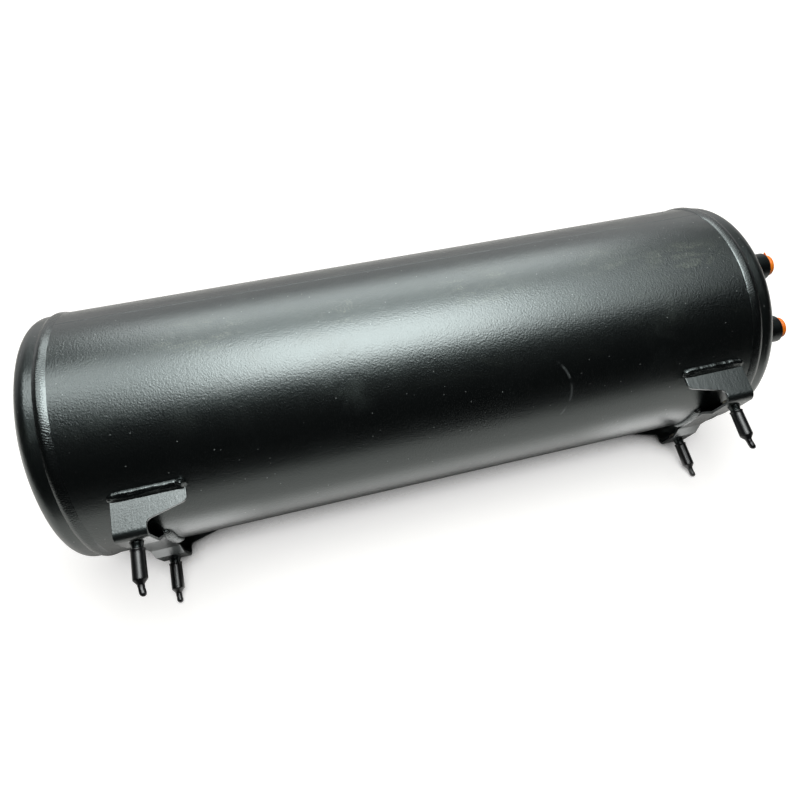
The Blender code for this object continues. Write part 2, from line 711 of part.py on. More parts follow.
def main():
    parts, cutters = start_collections()
    materials = {
        "steel": make_material("satin_black_steel", (0.035, 0.038, 0.040), 0.38, 0.0),
        "weld": make_material("painted_weld", (0.050, 0.053, 0.055), 0.42, 0.0),
        "stud": make_material("plated_stud", (0.30, 0.29, 0.26), 0.35, 1.0),
        "vinyl": make_material("black_vinyl", (0.012, 0.012, 0.013), 0.16, 0.0),
        "plug": make_material("orange_plastic", (0.90, 0.19, 0.02), 0.40, 0.0),
    }
    steel = materials["steel"]
    weld = materials["weld"]

    axis = make_empty("tank_axis", parts)
    frame = make_empty("mounting_frame", parts, axis)
    frame.rotation_euler = (lying_angle() - math.pi / 2, 0, 0)

    made = [build_shell(parts, frame, steel), build_seam_weld(parts, frame, weld)]
    for end in ENDS:
        made += build_end(end, parts, cutters, axis, frame, steel, weld)
        made.append(build_saddle(end, parts, cutters, frame, steel))
        made.append(build_strip_weld(end, "outboard", 1, parts, frame, weld))
        made.append(build_strip_weld(end, "inboard", -1, parts, frame, weld))
        for side in SIDES:
            made.append(build_wall_weld(end, side, parts, frame, weld))
            made += build_stud(end, side, parts, frame, materials["stud"], materials["vinyl"])
    for side, angle in PORT_ANGLES.items():
        made += build_port(side, angle, parts, cutters, frame, materials)

    bpy.context.view_layer.update()
    for obj in made:
        apply_and_shade(obj)
    stand_on_origin(made, axis)


main()
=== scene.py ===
"""Looks of the steel air receiver tank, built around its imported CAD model.

Shapes are worked out in the tank's own frame and then moved to where the CAD model
stands.  That frame has three directions: along the tank towards the ported end,
lateral towards the brackets' upper side, and depth, the way the studs point.
All lengths are in metres.  Places and outer sizes are read from the CAD model, and the
sizes below that it can't show repeat the ones in its source.
"""
import json
import math

import bmesh
import bpy
import numpy as np
from mathutils import Matrix, Vector, noise


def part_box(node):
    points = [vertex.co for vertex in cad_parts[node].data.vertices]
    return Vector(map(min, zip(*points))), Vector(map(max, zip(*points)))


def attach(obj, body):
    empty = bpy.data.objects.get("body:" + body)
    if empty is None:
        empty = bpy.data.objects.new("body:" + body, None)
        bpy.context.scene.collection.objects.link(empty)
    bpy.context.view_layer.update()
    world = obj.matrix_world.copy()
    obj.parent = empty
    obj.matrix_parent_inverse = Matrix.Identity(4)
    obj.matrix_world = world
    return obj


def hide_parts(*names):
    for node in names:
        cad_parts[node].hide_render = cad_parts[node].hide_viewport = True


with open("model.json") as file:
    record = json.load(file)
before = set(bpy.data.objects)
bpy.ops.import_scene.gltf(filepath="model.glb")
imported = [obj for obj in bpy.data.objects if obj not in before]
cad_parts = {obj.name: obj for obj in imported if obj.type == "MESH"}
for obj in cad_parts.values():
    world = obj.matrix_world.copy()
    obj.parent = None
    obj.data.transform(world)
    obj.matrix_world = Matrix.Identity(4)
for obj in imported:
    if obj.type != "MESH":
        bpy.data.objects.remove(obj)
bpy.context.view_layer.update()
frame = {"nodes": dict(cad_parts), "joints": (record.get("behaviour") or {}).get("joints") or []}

ENDS = {"plain": -1, "ported": 1}
SIDES = {"upper": 1, "lower": -1}

GAP = 0.0003                     # clearance that the CAD model leaves between two pieces
EMBED = 0.0005                   # how far a bead's hidden side reaches into the steel

THREAD_STEPS = 8                 # rows of a screw thread in each turn

# ---- Shell and heads
SHELL_WALL = 0.0025
SHELL_COLUMNS = 288
SHELL_ROWS = 120
SHELL_WAVE = 0.00010             # unevenness of the rolled sheet
SHELL_WAVE_SIZE = 0.070
SHELL_WAVE_FADE = 0.05           # the unevenness dies out this far from the girth welds
HEAD_WALL = 0.0028
HEAD_CROWN_RADIUS = 0.250
HEAD_KNUCKLE_RADIUS = 0.013
HEAD_SKIRT = 0.002               # of the straight part beyond the shell's edge
HEAD_SEGMENTS = 240

# ---- Marks on the shell's paint
SCRATCH_CENTER = (0.085, -0.078, 0.172)   # of a curved scratch
SCRATCH_RADIUS = 0.039
DUSTY_PLACES = (                 # (middle, reach) of the dusty patches
    ((0.26, 0.00, 0.24), 0.03),
    ((0.18, 0.01, 0.24), 0.02),
    ((0.06, 0.01, 0.24), 0.03),
    ((-0.07, 0.01, 0.24), 0.02),
    ((-0.20, 0.01, 0.24), 0.03),
)

# ---- Seam weld
SEAM_WIDTH = 0.0046
SEAM_RIPPLE = 0.0021             # pitch of the ripples
SEAM_SINK = 0.0001               # of the bead's edges into the shell
SEAM_WANDER = 0.0005             # of the bead off its straight line
SEAM_ROWS = 900
SEAM_COLUMNS = 9

# ---- Girth welds
GIRTH_OVERLAP = 0.0021           # of the bead on the shell
GIRTH_REACH = 0.0100             # from the shell's edge onto the head
GIRTH_CROWN_AT = 0.0050          # of the crown, from the shell's edge
GIRTH_FULLNESS = {"plain": 0.92, "ported": 0.42}   # lower climbs sooner from the shell
GIRTH_SINK = 0.0002              # of the bead's toe into the shell
GIRTH_LIP = 0.00045              # steep edge where the bead ends on the head
GIRTH_LIP_START = 0.88           # of the way from the crown down to the head
GIRTH_RIPPLE = 0.0023            # pitch of the ripples
GIRTH_RIPPLE_DEPTH = 0.00009
GIRTH_ROWS = 19
GIRTH_COLUMNS = 1980

# ---- Saddle brackets
SHEET = 0.0030
STRIP_HALF_WIDTH = 0.0140
WALL_OFFSET = 0.0780
RAMP_END = 0.0430
CENTER_FLAT_HALF = 0.0270
CENTER_BEND_RADIUS = 0.0045
RAMP_BEND_RADIUS = 0.0035
WING_INBOARD = 0.0490
WING_DEPTH = 0.0120
WING_TAPER = 0.0095
WING_CORNER_RADIUS = 0.0055
WING_CORNER_STEPS = 12
WALL_HEIGHT = 0.0346
BEND_RADIUS = 0.0080
EDGE_ROUNDING = 0.00055
PLATE_SHARP = 35                 # degrees: flatter bends are shaded smooth

# ---- Bracket welds
WALL_WELD_ON_SHELL = 0.0062
WALL_WELD_ON_WALL = 0.0033
WALL_WELD_BULGE = 0.0023
WALL_WELD_OVERRUN = 0.0020
WALL_WELD_LUMPS = 0.08
WALL_WELD_KNOBS = {              # (share of the length, rise) of each bulb
    "plain": ((0.93, 0.90),),
    "ported": ((0.045, 0.25), (0.955, 0.30)),
}
WALL_WELD_KNOB_SPREAD = 0.045
WALL_WELD_LARGEST = 1.12
WALL_WELD_GRAIN = 0.00050
WALL_WELD_ROWS = 190
WALL_WELD_COLUMNS = 15
STRIP_WELD_WIDTH = 0.0075
STRIP_WELD_HEIGHT = 0.0042
STRIP_WELD_SINK = 0.0002         # into the edge of the sheet
STRIP_WELD_LUMPS = 0.14
STRIP_WELD_RIPPLE = 0.0023
STRIP_WELD_RIPPLE_DEPTH = 0.07
STRIP_WELD_ROWS = 110

# ---- Studs and caps
STUD_RADIUS = 0.0047625
STUD_COLLAR_RADIUS = 0.00586
STUD_HOLE_RADIUS = 0.00616
STUD_THREAD_PITCH = 0.0254 / 16
STUD_THREAD_DEPTH = 0.0009
STUD_LENGTH = 0.0305
STUD_HEAD_RADIUS = 0.0084
STUD_HEAD_THICKNESS = 0.0038
NECK_OUTLINE = (                 # (beyond the stud's radius, height) of the paint at its foot
    (-0.0006, 0.0001), (0.0011, 0.0001), (0.00105, 0.0008), (0.0008, 0.0017), (0.00055, 0.0026),
    (0.00025, 0.0036), (0.00015, 0.0046), (0.00010, 0.0052), (-0.0006, 0.0054),
)
CAP_START = 0.0056
CAP_RADIUS = 0.00636
CAP_LIP = 0.0006                 # radius of the rounded mouth
CAP_BODY_END = 0.0316
CAP_NECK_START = 0.0352
CAP_TIP_END = 0.0458
CAP_TIP_RADIUS = 0.0031
CAP_CREASE = 0.05                # depth of the nub's creases, as a share of its radius
CAP_BEND = 0.0016                # of the nub's tip to one side
CAP_FLATNESS = 0.06

# ---- Ports
PORT_BORE_RADIUS = 0.0092
PORT_MOUTH_RADIUS = 0.0111
PORT_MOUTH_DEPTH = 0.0010
PORT_RADIUS = 0.0140
PORT_FACE = 0.0155               # beyond the dome at the port's centre
PORT_DEPTH = 0.0110
PORT_ROUNDING = 0.0009
PORT_SEGMENTS = 96
PORT_THREAD_PITCH = 0.0254 / 14
PORT_THREAD_DEPTH = 0.0009
PORT_WELD_WIDTH = 0.0044
PORT_WELD_HEIGHT = 0.0044
PORT_WELD_RIPPLE = 0.0021
PLUG_FLANGE_RADIUS = 0.0108
PLUG_FLANGE_THICKNESS = 0.0064
PLUG_STEM_LENGTH = 0.0090
PLUG_RIBS = 9
PLUG_WALL = 0.0014
PLUG_TAB_REACH = 0.0034
PLUG_TAB_HEIGHT = 0.62           # as a share of the flange's thickness
PLUG_TAB_ANGLES = {"upper": math.radians(213), "lower": math.radians(135)}

# ---- Colours of what lies on the black paint
DUST_COLOR = (0.20, 0.22, 0.17)
FLECK_COLOR = (0.23, 0.25, 0.185)
SPECK_COLOR = (0.34, 0.36, 0.35)
SCRATCH_COLOR = (0.11, 0.12, 0.12)

# ---- Soft boxes
LAMP_COLOR = (0.965, 1.0, 0.995)
LAMPS = (                        # name, place, size, radiance, tilt about X in degrees
    ("core", (0.08, -0.20, 1.74), (1.05, 1.05), 5.9, 0),
    ("wide", (0.25, 0.25, 1.74), (2.00, 2.10), 1.3, 0),
    ("plate", (-0.86, 0.12, 1.74), (0.60, 0.90), 3.0, 0),
    ("beyond", (0.20, 1.60, 1.70), (2.20, 0.80), 2.3, -45),
)

# ---- Camera, as the photographer held it
CAMERA_OFFSET = Vector((-0.10952, -0.45884, 0.50045))   # from the tank's middle
CAMERA_YAW = math.radians(-13.95)
CAMERA_TILT = math.radians(42.13)
CAMERA_ROLL = math.radians(-1.06)
CAMERA_LENS = 28.60
CAMERA_SHIFT = (-0.02044, -0.02223)


# ==== The tank's frame
def tank_axes():
    """Directions along, lateral and depth as the columns of an array."""
    joints = {joint["name"]: joint for joint in frame["joints"]}
    depth = Vector(joints["plain_upper_stud_cap_pull"]["axis"]).normalized()
    along = Vector((1, 0, 0))
    return np.array((along, depth.cross(along), depth)).T


def tank_middle():
    """Middle of the shell, on the tank's axis."""
    shell_low, shell_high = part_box("shell")
    ring_low, ring_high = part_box("plain_girth_weld")
    middle = (ring_low + ring_high) / 2
    return np.array(((shell_low.x + shell_high.x) / 2, middle.y, middle.z))


AXES = tank_axes()
MIDDLE = tank_middle()


def tank_points(node):
    """Corners of a CAD node as (along, lateral, depth)."""
    corners = np.array([vertex.co for vertex in frame["nodes"][node].data.vertices], float)
    return (corners - MIDDLE) @ AXES


def largest_radius(node):
    """Distance of a CAD node's farthest corner from the tank's axis."""
    points = tank_points(node)
    return float(np.hypot(points[:, 1], points[:, 2]).max())


SHELL_HALF = float(tank_points("shell")[:, 0].max())
SHELL_RADIUS = largest_radius("shell")
HEAD_RADIUS = largest_radius("plain_head")
GIRTH_RADIUS = largest_radius("plain_girth_weld")
WALL_TOP_DEPTH = math.sqrt(SHELL_RADIUS ** 2 - (WALL_OFFSET - SHEET) ** 2)
FOOT_FACE = WALL_TOP_DEPTH + WALL_HEIGHT
HEAD_POLE = -float(tank_points("plain_head")[:, 0].min())


def middle_of(node):
    """Middle of a CAD node's box as (along, lateral, depth)."""
    points = tank_points(node)
    return (points.min(axis=0) + points.max(axis=0)) / 2


# ==== Mesh helpers
def arc(center, radius, start, end, steps):
    """Points on an arc in a plane, from the start angle to the end angle."""
    angles = [start + (end - start) * step / steps for step in range(steps + 1)]
    return [(center[0] + radius * math.cos(a), center[1] + radius * math.sin(a)) for a in angles]


def rounded_corner(before, corner, after, radius, steps):
    """Points that round the corner between two straight edges."""
    corner = Vector(corner)
    to_before = (Vector(before) - corner).normalized()
    to_after = (Vector(after) - corner).normalized()
    half = to_before.angle(to_after) / 2
    center = corner + (to_before + to_after).normalized() * (radius / math.sin(half))
    first = corner + to_before * (radius / math.tan(half)) - center
    last = corner + to_after * (radius / math.tan(half)) - center
    start = math.atan2(first.y, first.x)
    sweep = math.remainder(math.atan2(last.y, last.x) - start, math.tau)
    return arc(center, radius, start, start + sweep, steps)


def soft_noise(points, size, seed):
    """Smooth noise from -1 to 1 at points of any grid, with features of the given size."""
    flat = np.asarray(points, float).reshape(-1, 3) / size + (seed * 7.3, seed * 3.1, seed * 5.7)
    values = [noise.noise(Vector(point)) for point in flat]
    return np.array(values).reshape(np.shape(points)[:-1])


def on_line(lengths):
    """Points on a straight line, for noise that varies only along a bead."""
    return np.stack((lengths, lengths * 0, lengths * 0), -1)


def around(count):
    """Row of angles once around."""
    return np.linspace(0, math.tau, count, endpoint=False)[None, :]


def shade(mesh, sharp):
    """Smooth shading, with sharp edges where faces meet at more than an angle in degrees."""
    mesh.shade_smooth()
    mesh.set_sharp_from_angle(angle=math.radians(sharp))


def object_from_bmesh(name, bm, sharp):
    """Move a mesh from the tank's frame to its place, shade it and link it as an object."""
    mesh = bpy.data.meshes.new(name)
    bm.to_mesh(mesh)
    bm.free()
    count = len(mesh.vertices)
    points = np.empty(count * 3)
    mesh.vertices.foreach_get("co", points)
    points = points.reshape(count, 3) @ AXES.T + MIDDLE
    mesh.vertices.foreach_set("co", points.ravel())
    shade(mesh, sharp)
    obj = bpy.data.objects.new(name, mesh)
    bpy.context.scene.collection.objects.link(obj)
    return obj


def skin(name, rows, ring=False, sharp=50):
    """Object skinned over rows of points in the tank's frame.

    Each row is a closed loop, and in a ring the last row joins the first.  Points that
    coincide are merged, and open ends are capped.
    """
    rows = np.asarray(rows, float)
    count, width = rows.shape[:2]
    bm = bmesh.new()
    verts = [[bm.verts.new(point) for point in row] for row in rows]
    for i in range(count if ring else count - 1):
        for j in range(width):
            k, m = (i + 1) % count, (j + 1) % width
            bm.faces.new((verts[i][j], verts[i][m], verts[k][m], verts[k][j]))
    bmesh.ops.remove_doubles(bm, verts=bm.verts, dist=1e-6)
    border = [edge for edge in bm.edges if edge.is_boundary]
    if border:
        bmesh.ops.holes_fill(bm, edges=border, sides=0)
    bmesh.ops.recalc_face_normals(bm, faces=bm.faces)
    return object_from_bmesh(name, bm, sharp)


def about_tank(radius, along, angle):
    """Points at angles from the depth direction towards the lateral one."""
    return np.stack(np.broadcast_arrays(along, radius * np.sin(angle), radius * np.cos(angle)), -1)


def about_stud(center):
    """Placing function for shapes turned about a stud: height counts out of the foot."""
    def place(radius, height, angle):
        along = center[0] + radius * np.cos(angle)
        lateral = center[1] + radius * np.sin(angle)
        return np.stack(np.broadcast_arrays(along, lateral, center[2] + height), -1)
    return place


def about_port(center):
    """Placing function for shapes turned about a port: height counts out of the head."""
    def place(radius, height, angle):
        lateral = center[1] + radius * np.sin(angle)
        depth = center[2] + radius * np.cos(angle)
        return np.stack(np.broadcast_arrays(center[0] + height, lateral, depth), -1)
    return place


def turned_grid(outline, segments):
    """Radius, height and angle arrays for an outline of (radius, height) points."""
    radius, height = (np.array(column, float)[:, None] for column in zip(*outline))
    return np.broadcast_arrays(radius, height, around(segments))


def thread_heights(start, end, pitch):
    """Heights along a thread, close enough together to draw each turn."""
    return np.linspace(start, end, int((end - start) / pitch * THREAD_STEPS))


def thread_wave(height, angle, pitch):
    """Height of a screw thread's ridge, from 0 to 1, with flats on crest and root."""
    phase = (height / pitch - angle / math.tau) % 1.0
    return np.clip(1.5 - np.abs(phase - 0.5) * 4, 0.0, 1.0)


def finish_piece(obj, material, body, nodes=()):
    """Give a piece its material and its body, and hide the CAD nodes it stands for."""
    obj.data.materials.clear()
    obj.data.materials.append(material)
    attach(obj, body)
    if nodes:
        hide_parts(*nodes)


# ==== Materials
class Nodes:
    """Short way to add, fill and link shader nodes."""

    def __init__(self, owner, space="Object"):
        self.tree = owner.node_tree
        self.place = self.add("ShaderNodeTexCoord").outputs[space]

    def add(self, kind, inputs=None, **settings):
        """New node with its settings and inputs."""
        node = self.tree.nodes.new(kind)
        for key, value in settings.items():
            setattr(node, key, value)
        self.fill(node, inputs or {})
        return node

    def fill(self, node, inputs):
        """Fill inputs of a node by name or number."""
        for key, value in inputs.items():
            self.give(node.inputs[key], value)

    def give(self, socket, value):
        """Link another node's output to an input, or set the input's own value."""
        if isinstance(value, bpy.types.NodeSocket):
            self.tree.links.new(value, socket)
        elif socket.type == "RGBA":
            socket.default_value = (*value, 1.0)
        else:
            socket.default_value = value

    def axis(self, letter):
        return self.add("ShaderNodeSeparateXYZ", {0: self.place}).outputs[letter]

    def stretched(self, scale):
        """Object coordinates scaled by a vector."""
        inputs = {0: self.place, 1: scale}
        return self.add("ShaderNodeVectorMath", inputs, operation="MULTIPLY").outputs[0]

    def distance(self, point, vector=None):
        """Distance from a point to the shaded place or to another vector."""
        inputs = {0: vector or self.place, 1: point}
        return self.add("ShaderNodeVectorMath", inputs, operation="DISTANCE").outputs["Value"]

    def noise(self, scale, detail=2.0, roughness=0.5, distortion=0.0, vector=None):
        inputs = {"Vector": vector or self.place, "Scale": scale, "Detail": detail,
                  "Roughness": roughness, "Distortion": distortion}
        return self.add("ShaderNodeTexNoise", inputs).outputs["Fac"]

    def ramp(self, value, low, high, start=0.0, end=1.0):
        """Smooth step of a value between two limits."""
        inputs = {"Value": value, "From Min": low, "From Max": high, "To Min": start, "To Max": end}
        node = self.add("ShaderNodeMapRange", inputs, interpolation_type="SMOOTHSTEP")
        return node.outputs["Result"]

    def math(self, operation, first, second=0.0):
        return self.add("ShaderNodeMath", {0: first, 1: second}, operation=operation).outputs[0]

    def product(self, *factors):
        result = factors[0]
        for factor in factors[1:]:
            result = self.math("MULTIPLY", result, factor)
        return result

    def blend(self, factor, first, second):
        """Colour between two."""
        node = self.add("ShaderNodeMix", {"Factor": factor}, data_type="RGBA")
        colors = [socket for socket in node.inputs if socket.type == "RGBA"]
        for socket, value in zip(colors, (first, second)):
            self.give(socket, value)
        return next(socket for socket in node.outputs if socket.type == "RGBA")

    def bump(self, height, distance, strength, normal=None):
        inputs = {"Height": height, "Distance": distance, "Strength": strength}
        if normal:
            inputs["Normal"] = normal
        return self.add("ShaderNodeBump", inputs).outputs["Normal"]

    def near(self, places):
        """1 in the middle of each (middle, reach), 0 at its edge; twice as long along X."""
        nearest = 0.0
        for (x, y, z), reach in places:
            apart = self.distance((0.5 * x, y, z), self.stretched((0.5, 1.0, 1.0)))
            nearest = self.math("MAXIMUM", self.ramp(apart, reach, 0.3 * reach), nearest)
        return nearest

    def flecks(self, places):
        """Broken patches of pale flecks near the given places."""
        patch_place = self.stretched((42.0, 100.0, 100.0))
        patch = self.ramp(self.noise(1.0, 4.0, 0.65, 0.5, patch_place), 0.44, 0.62)
        fleck = self.ramp(self.noise(560.0, 3.0), 0.48, 0.64, 0.25, 1.0)
        return self.product(self.near(places), patch, fleck, 0.32)

    def scratch(self, center, radius):
        """Faint broken scratch: the part of a ring about a point that lies towards +X of it."""
        off = self.math("ABSOLUTE", self.math("SUBTRACT", self.distance(center), radius))
        line = self.ramp(off, 0.0016, 0.0003)
        part = self.ramp(self.axis("X"), center[0] + 0.62 * radius, center[0] + 0.80 * radius)
        worn = self.ramp(self.noise(110.0, 3.0), 0.42, 0.64)
        return self.product(line, part, worn, 0.55)

    def specks(self, scale, size, share):
        """Small round dots: one in each chosen cell of a grid that many to the metre."""
        cells = self.add("ShaderNodeTexVoronoi", {"Vector": self.place, "Scale": scale})
        dot = self.ramp(cells.outputs["Distance"], size * scale, size * scale * 0.4)
        pick = self.add("ShaderNodeSeparateColor", {0: cells.outputs["Color"]})
        return self.product(dot, self.math("LESS_THAN", pick.outputs[0], share))


def new_material(name):
    """Empty Principled material: the material, its shader and its node helper."""
    material = bpy.data.materials.new(name)
    material.use_nodes = True
    return material, material.node_tree.nodes["Principled BSDF"], Nodes(material)


def peel_normal(nodes, peel, runs):
    """Orange peel at two scales, and thick runs where a paint has them."""
    normal = nodes.bump(nodes.noise(330.0, 1.0), 0.00016 * peel, 0.35)
    normal = nodes.bump(nodes.noise(640.0, roughness=0.6), 0.00026 * peel, 0.80, normal)
    if runs:
        run_place = nodes.stretched((330.0, 45.0, 45.0))
        run = nodes.noise(1.0, distortion=0.5, vector=run_place)
        normal = nodes.bump(run, 0.00030 * runs, 0.60, normal)
    return normal


def black_paint(name, color, roughness, peel, dust=0.0, specular=1.0, coat=1.0, runs=0.0,
                coat_ior=1.7, dusty=(), scratched=False):
    """Satin black powder coat: orange peel, uneven gloss, dust, smudges and specks."""
    material, shader, nodes = new_material(name)
    mottle = nodes.ramp(nodes.noise(38.0, 5.0, 0.62, 0.4), 0.38, 0.72)
    cloud = nodes.ramp(nodes.noise(9.0, 3.0, distortion=0.8), 0.42, 0.70)
    smudge = nodes.product(mottle, cloud)
    streak_place = nodes.stretched((14.0, 34.0, 34.0))
    streak = nodes.ramp(nodes.noise(1.0, 5.0, 0.70, 0.9, streak_place), 0.52, 0.80)
    top = nodes.ramp(nodes.axis("Z"), 0.185, 0.240)
    dusting = nodes.product(nodes.math("MAXIMUM", streak, smudge), top, dust)
    speck = nodes.product(nodes.specks(110.0, 0.00080, 0.80), 0.55)

    base = nodes.blend(smudge, color, tuple(channel * 1.35 + 0.001 for channel in color))
    base = nodes.blend(dusting, base, DUST_COLOR)
    if dusty:
        base = nodes.blend(nodes.flecks(dusty), base, FLECK_COLOR)
    base = nodes.blend(speck, base, SPECK_COLOR)
    if scratched:
        base = nodes.blend(nodes.scratch(SCRATCH_CENTER, SCRATCH_RADIUS), base, SCRATCH_COLOR)
    rough = nodes.math("ADD", nodes.product(smudge, 0.10), roughness)
    rough = nodes.math("ADD", nodes.product(dusting, 0.12), rough)
    normal = peel_normal(nodes, peel, runs)
    nodes.fill(shader, {
        "Base Color": base, "Roughness": rough, "Normal": normal,
        "Specular IOR Level": specular, "Specular Tint": (0.82, 1.0, 0.99),
        "Coat Weight": coat, "Coat Roughness": 0.22, "Coat IOR": coat_ior, "Coat Normal": normal,
    })
    return material


def plated_steel():
    """Zinc plated thread: bright, slightly yellow, with darker roots."""
    material, shader, nodes = new_material("zinc_plated_steel")
    tarnish = nodes.ramp(nodes.noise(260.0, 4.0, 0.6), 0.35, 0.70)
    nodes.fill(shader, {
        "Base Color": nodes.blend(tarnish, (0.62, 0.58, 0.47), (0.40, 0.37, 0.31)),
        "Roughness": nodes.ramp(tarnish, 0.0, 1.0, 0.26, 0.46),
        "Normal": nodes.bump(nodes.noise(2400.0), 0.00004, 0.5),
        "Metallic": 1.0,
    })
    return material


def black_vinyl():
    """Glossy dipped vinyl with faint flow marks and a few scuffs."""
    material, shader, nodes = new_material("glossy_black_vinyl")
    scuff = nodes.ramp(nodes.noise(520.0, 5.0, 0.7), 0.60, 0.74)
    flow = nodes.bump(nodes.noise(240.0), 0.00035, 0.15)
    nodes.fill(shader, {
        "Base Color": nodes.blend(scuff, (0.0035, 0.0036, 0.0040), (0.020, 0.020, 0.021)),
        "Roughness": nodes.ramp(scuff, 0.0, 1.0, 0.29, 0.40),
        "Normal": nodes.bump(nodes.noise(1500.0), 0.00003, 0.4, flow),
        "Specular IOR Level": 0.85,
    })
    return material


def orange_plastic():
    """Moulded polyethylene: waxy, slightly translucent, with fine mould texture."""
    material, shader, nodes = new_material("orange_polyethylene")
    tone = nodes.ramp(nodes.noise(170.0, 3.0), 0.30, 0.75)
    nodes.fill(shader, {
        "Base Color": nodes.blend(tone, (0.97, 0.19, 0.006), (1.0, 0.27, 0.012)),
        "Roughness": nodes.ramp(tone, 0.0, 1.0, 0.34, 0.46),
        "Normal": nodes.bump(nodes.noise(1900.0, 3.0), 0.00004, 0.5),
        "Subsurface Weight": 0.15,
        "Subsurface Radius": (0.0030, 0.0012, 0.0004),
        "Subsurface Scale": 0.6,
    })
    return material


# ==== Pressure vessel
def make_shell(material):
    """Rolled tube with a faint unevenness that fades out at the girth welds."""
    along = np.linspace(-SHELL_HALF, SHELL_HALF, SHELL_ROWS)[:, None]
    angle = around(SHELL_COLUMNS)
    outer = about_tank(SHELL_RADIUS, along, angle)
    wave = soft_noise(outer * (0.5, 1, 1), SHELL_WAVE_SIZE, 1) - 0.5
    fade = np.clip((SHELL_HALF - np.abs(along)) / SHELL_WAVE_FADE, 0, 1)
    outer = about_tank(SHELL_RADIUS + SHELL_WAVE * wave * fade, along, angle)
    inner = about_tank(SHELL_RADIUS - SHELL_WALL, along[::SHELL_ROWS - 1], angle)
    obj = skin("shell_tube", np.concatenate((outer, inner[::-1])), ring=True)
    finish_piece(obj, material, "tank", ["shell"])


def make_seam(material):
    """Low rippled bead along the shell."""
    middle = middle_of("seam_weld")
    middle_angle = math.atan2(middle[1], middle[2])
    half_length = float(tank_points("seam_weld")[:, 0].max())
    along = np.linspace(-half_length, half_length, SEAM_ROWS)[:, None]
    across = np.linspace(-1, 1, SEAM_COLUMNS)[None, :]
    rise = largest_radius("seam_weld") - SHELL_RADIUS
    ripple = np.sin(math.tau * along / SEAM_RIPPLE + 1.2 * np.abs(across))
    wander = SEAM_WANDER * soft_noise(on_line(along), 0.045, 2)
    width = SEAM_WIDTH / 2 * (1 + 0.15 * soft_noise(on_line(along), 0.020, 3))
    height = rise * (1 - across ** 2) * (0.42 + 0.10 * ripple)
    angle = middle_angle + (across * width + wander) / SHELL_RADIUS
    top = about_tank(SHELL_RADIUS - SEAM_SINK + height, along, angle)
    root = about_tank(SHELL_RADIUS - EMBED, along, angle)[:, ::-1]
    obj = skin("seam_bead", np.concatenate((top, root), axis=1))
    finish_piece(obj, material, "tank", ["seam_weld"])


def girth_profile(share, fullness):
    """(along from the shell's edge, radius) across a girth bead, from shell toe to head toe."""
    crown = GIRTH_OVERLAP + GIRTH_CROWN_AT
    length = GIRTH_OVERLAP + GIRTH_REACH
    run = share * length
    rise = np.clip(run / crown, 0, 1)
    fall = np.clip((run - crown) / (length - crown), 0, 1)
    top = GIRTH_RADIUS - GIRTH_RIPPLE_DEPTH
    climb = np.sin(rise * math.pi / 2) ** fullness
    uphill = SHELL_RADIUS - GIRTH_SINK + (top - SHELL_RADIUS + GIRTH_SINK) * climb
    downhill = (top - HEAD_RADIUS - GIRTH_LIP) * (1 - np.cos(fall * math.pi / 2) ** 1.15)
    into_lip = np.clip((fall - GIRTH_LIP_START) / (1 - GIRTH_LIP_START), 0, 1)
    lip = GIRTH_LIP * 1.8 * into_lip ** 2
    return run - GIRTH_OVERLAP, uphill - downhill - lip


def make_girth_weld(end, material):
    """Rippled bead around the tank, broad towards the shell and steep towards the head."""
    outboard = ENDS[end]
    share = np.linspace(0, 1, GIRTH_ROWS)[:, None]
    angle = around(GIRTH_COLUMNS)
    along, radius = girth_profile(share, GIRTH_FULLNESS[end])
    ring = about_tank(SHELL_RADIUS, outboard * along, angle)
    middle = np.sin(share * math.pi)
    unevenness = soft_noise(ring, 0.0060, 4 + outboard)
    chevron = 2.6 * np.abs(share - 0.55) + 0.5 * unevenness
    strength = 0.75 + 0.75 * soft_noise(ring, 0.012, 9 + outboard)
    count = round(math.tau * SHELL_RADIUS / GIRTH_RIPPLE)
    ripple = np.sin(count * angle + math.tau * chevron) * middle * strength
    drift = 0.00040 * soft_noise(ring[:1], 0.018, 6 + outboard)
    drift = drift + 0.00025 * soft_noise(ring[:1], 0.005, 8 + outboard)
    radius = radius + GIRTH_RIPPLE_DEPTH * (0.75 * ripple + 0.25 * unevenness * middle)
    top = about_tank(radius, outboard * (SHELL_HALF + along + drift * (1 - 2 * share)), angle)
    root_along = outboard * (SHELL_HALF + np.array([[GIRTH_REACH], [0.0], [-GIRTH_OVERLAP]]))
    root_radius = np.array([[HEAD_RADIUS], [HEAD_RADIUS], [SHELL_RADIUS]]) - 2 * EMBED
    root = about_tank(root_radius, root_along, angle)
    rows = np.concatenate((top, root))
    obj = skin(end + "_girth_bead", rows, ring=True, sharp=60)
    finish_piece(obj, material, "tank", [end + "_girth_weld"])


def head_line(inset):
    """Outline of a head as (radius, along) from the pole to the skirt's edge."""
    center = HEAD_POLE - HEAD_CROWN_RADIUS
    reach = HEAD_RADIUS - HEAD_KNUCKLE_RADIUS
    knuckle = center + math.sqrt((HEAD_CROWN_RADIUS - HEAD_KNUCKLE_RADIUS) ** 2 - reach ** 2)
    tangent = math.asin(reach / (HEAD_CROWN_RADIUS - HEAD_KNUCKLE_RADIUS))
    quarter = math.pi / 2
    crown = arc((0, center), HEAD_CROWN_RADIUS - inset, quarter, quarter - tangent, 40)
    crown[0] = (0.0, center + HEAD_CROWN_RADIUS - inset)
    bend = arc((reach, knuckle), HEAD_KNUCKLE_RADIUS - inset, quarter - tangent, 0, 18)
    return crown + bend[1:] + [(HEAD_RADIUS - inset, SHELL_HALF + HEAD_SKIRT)]


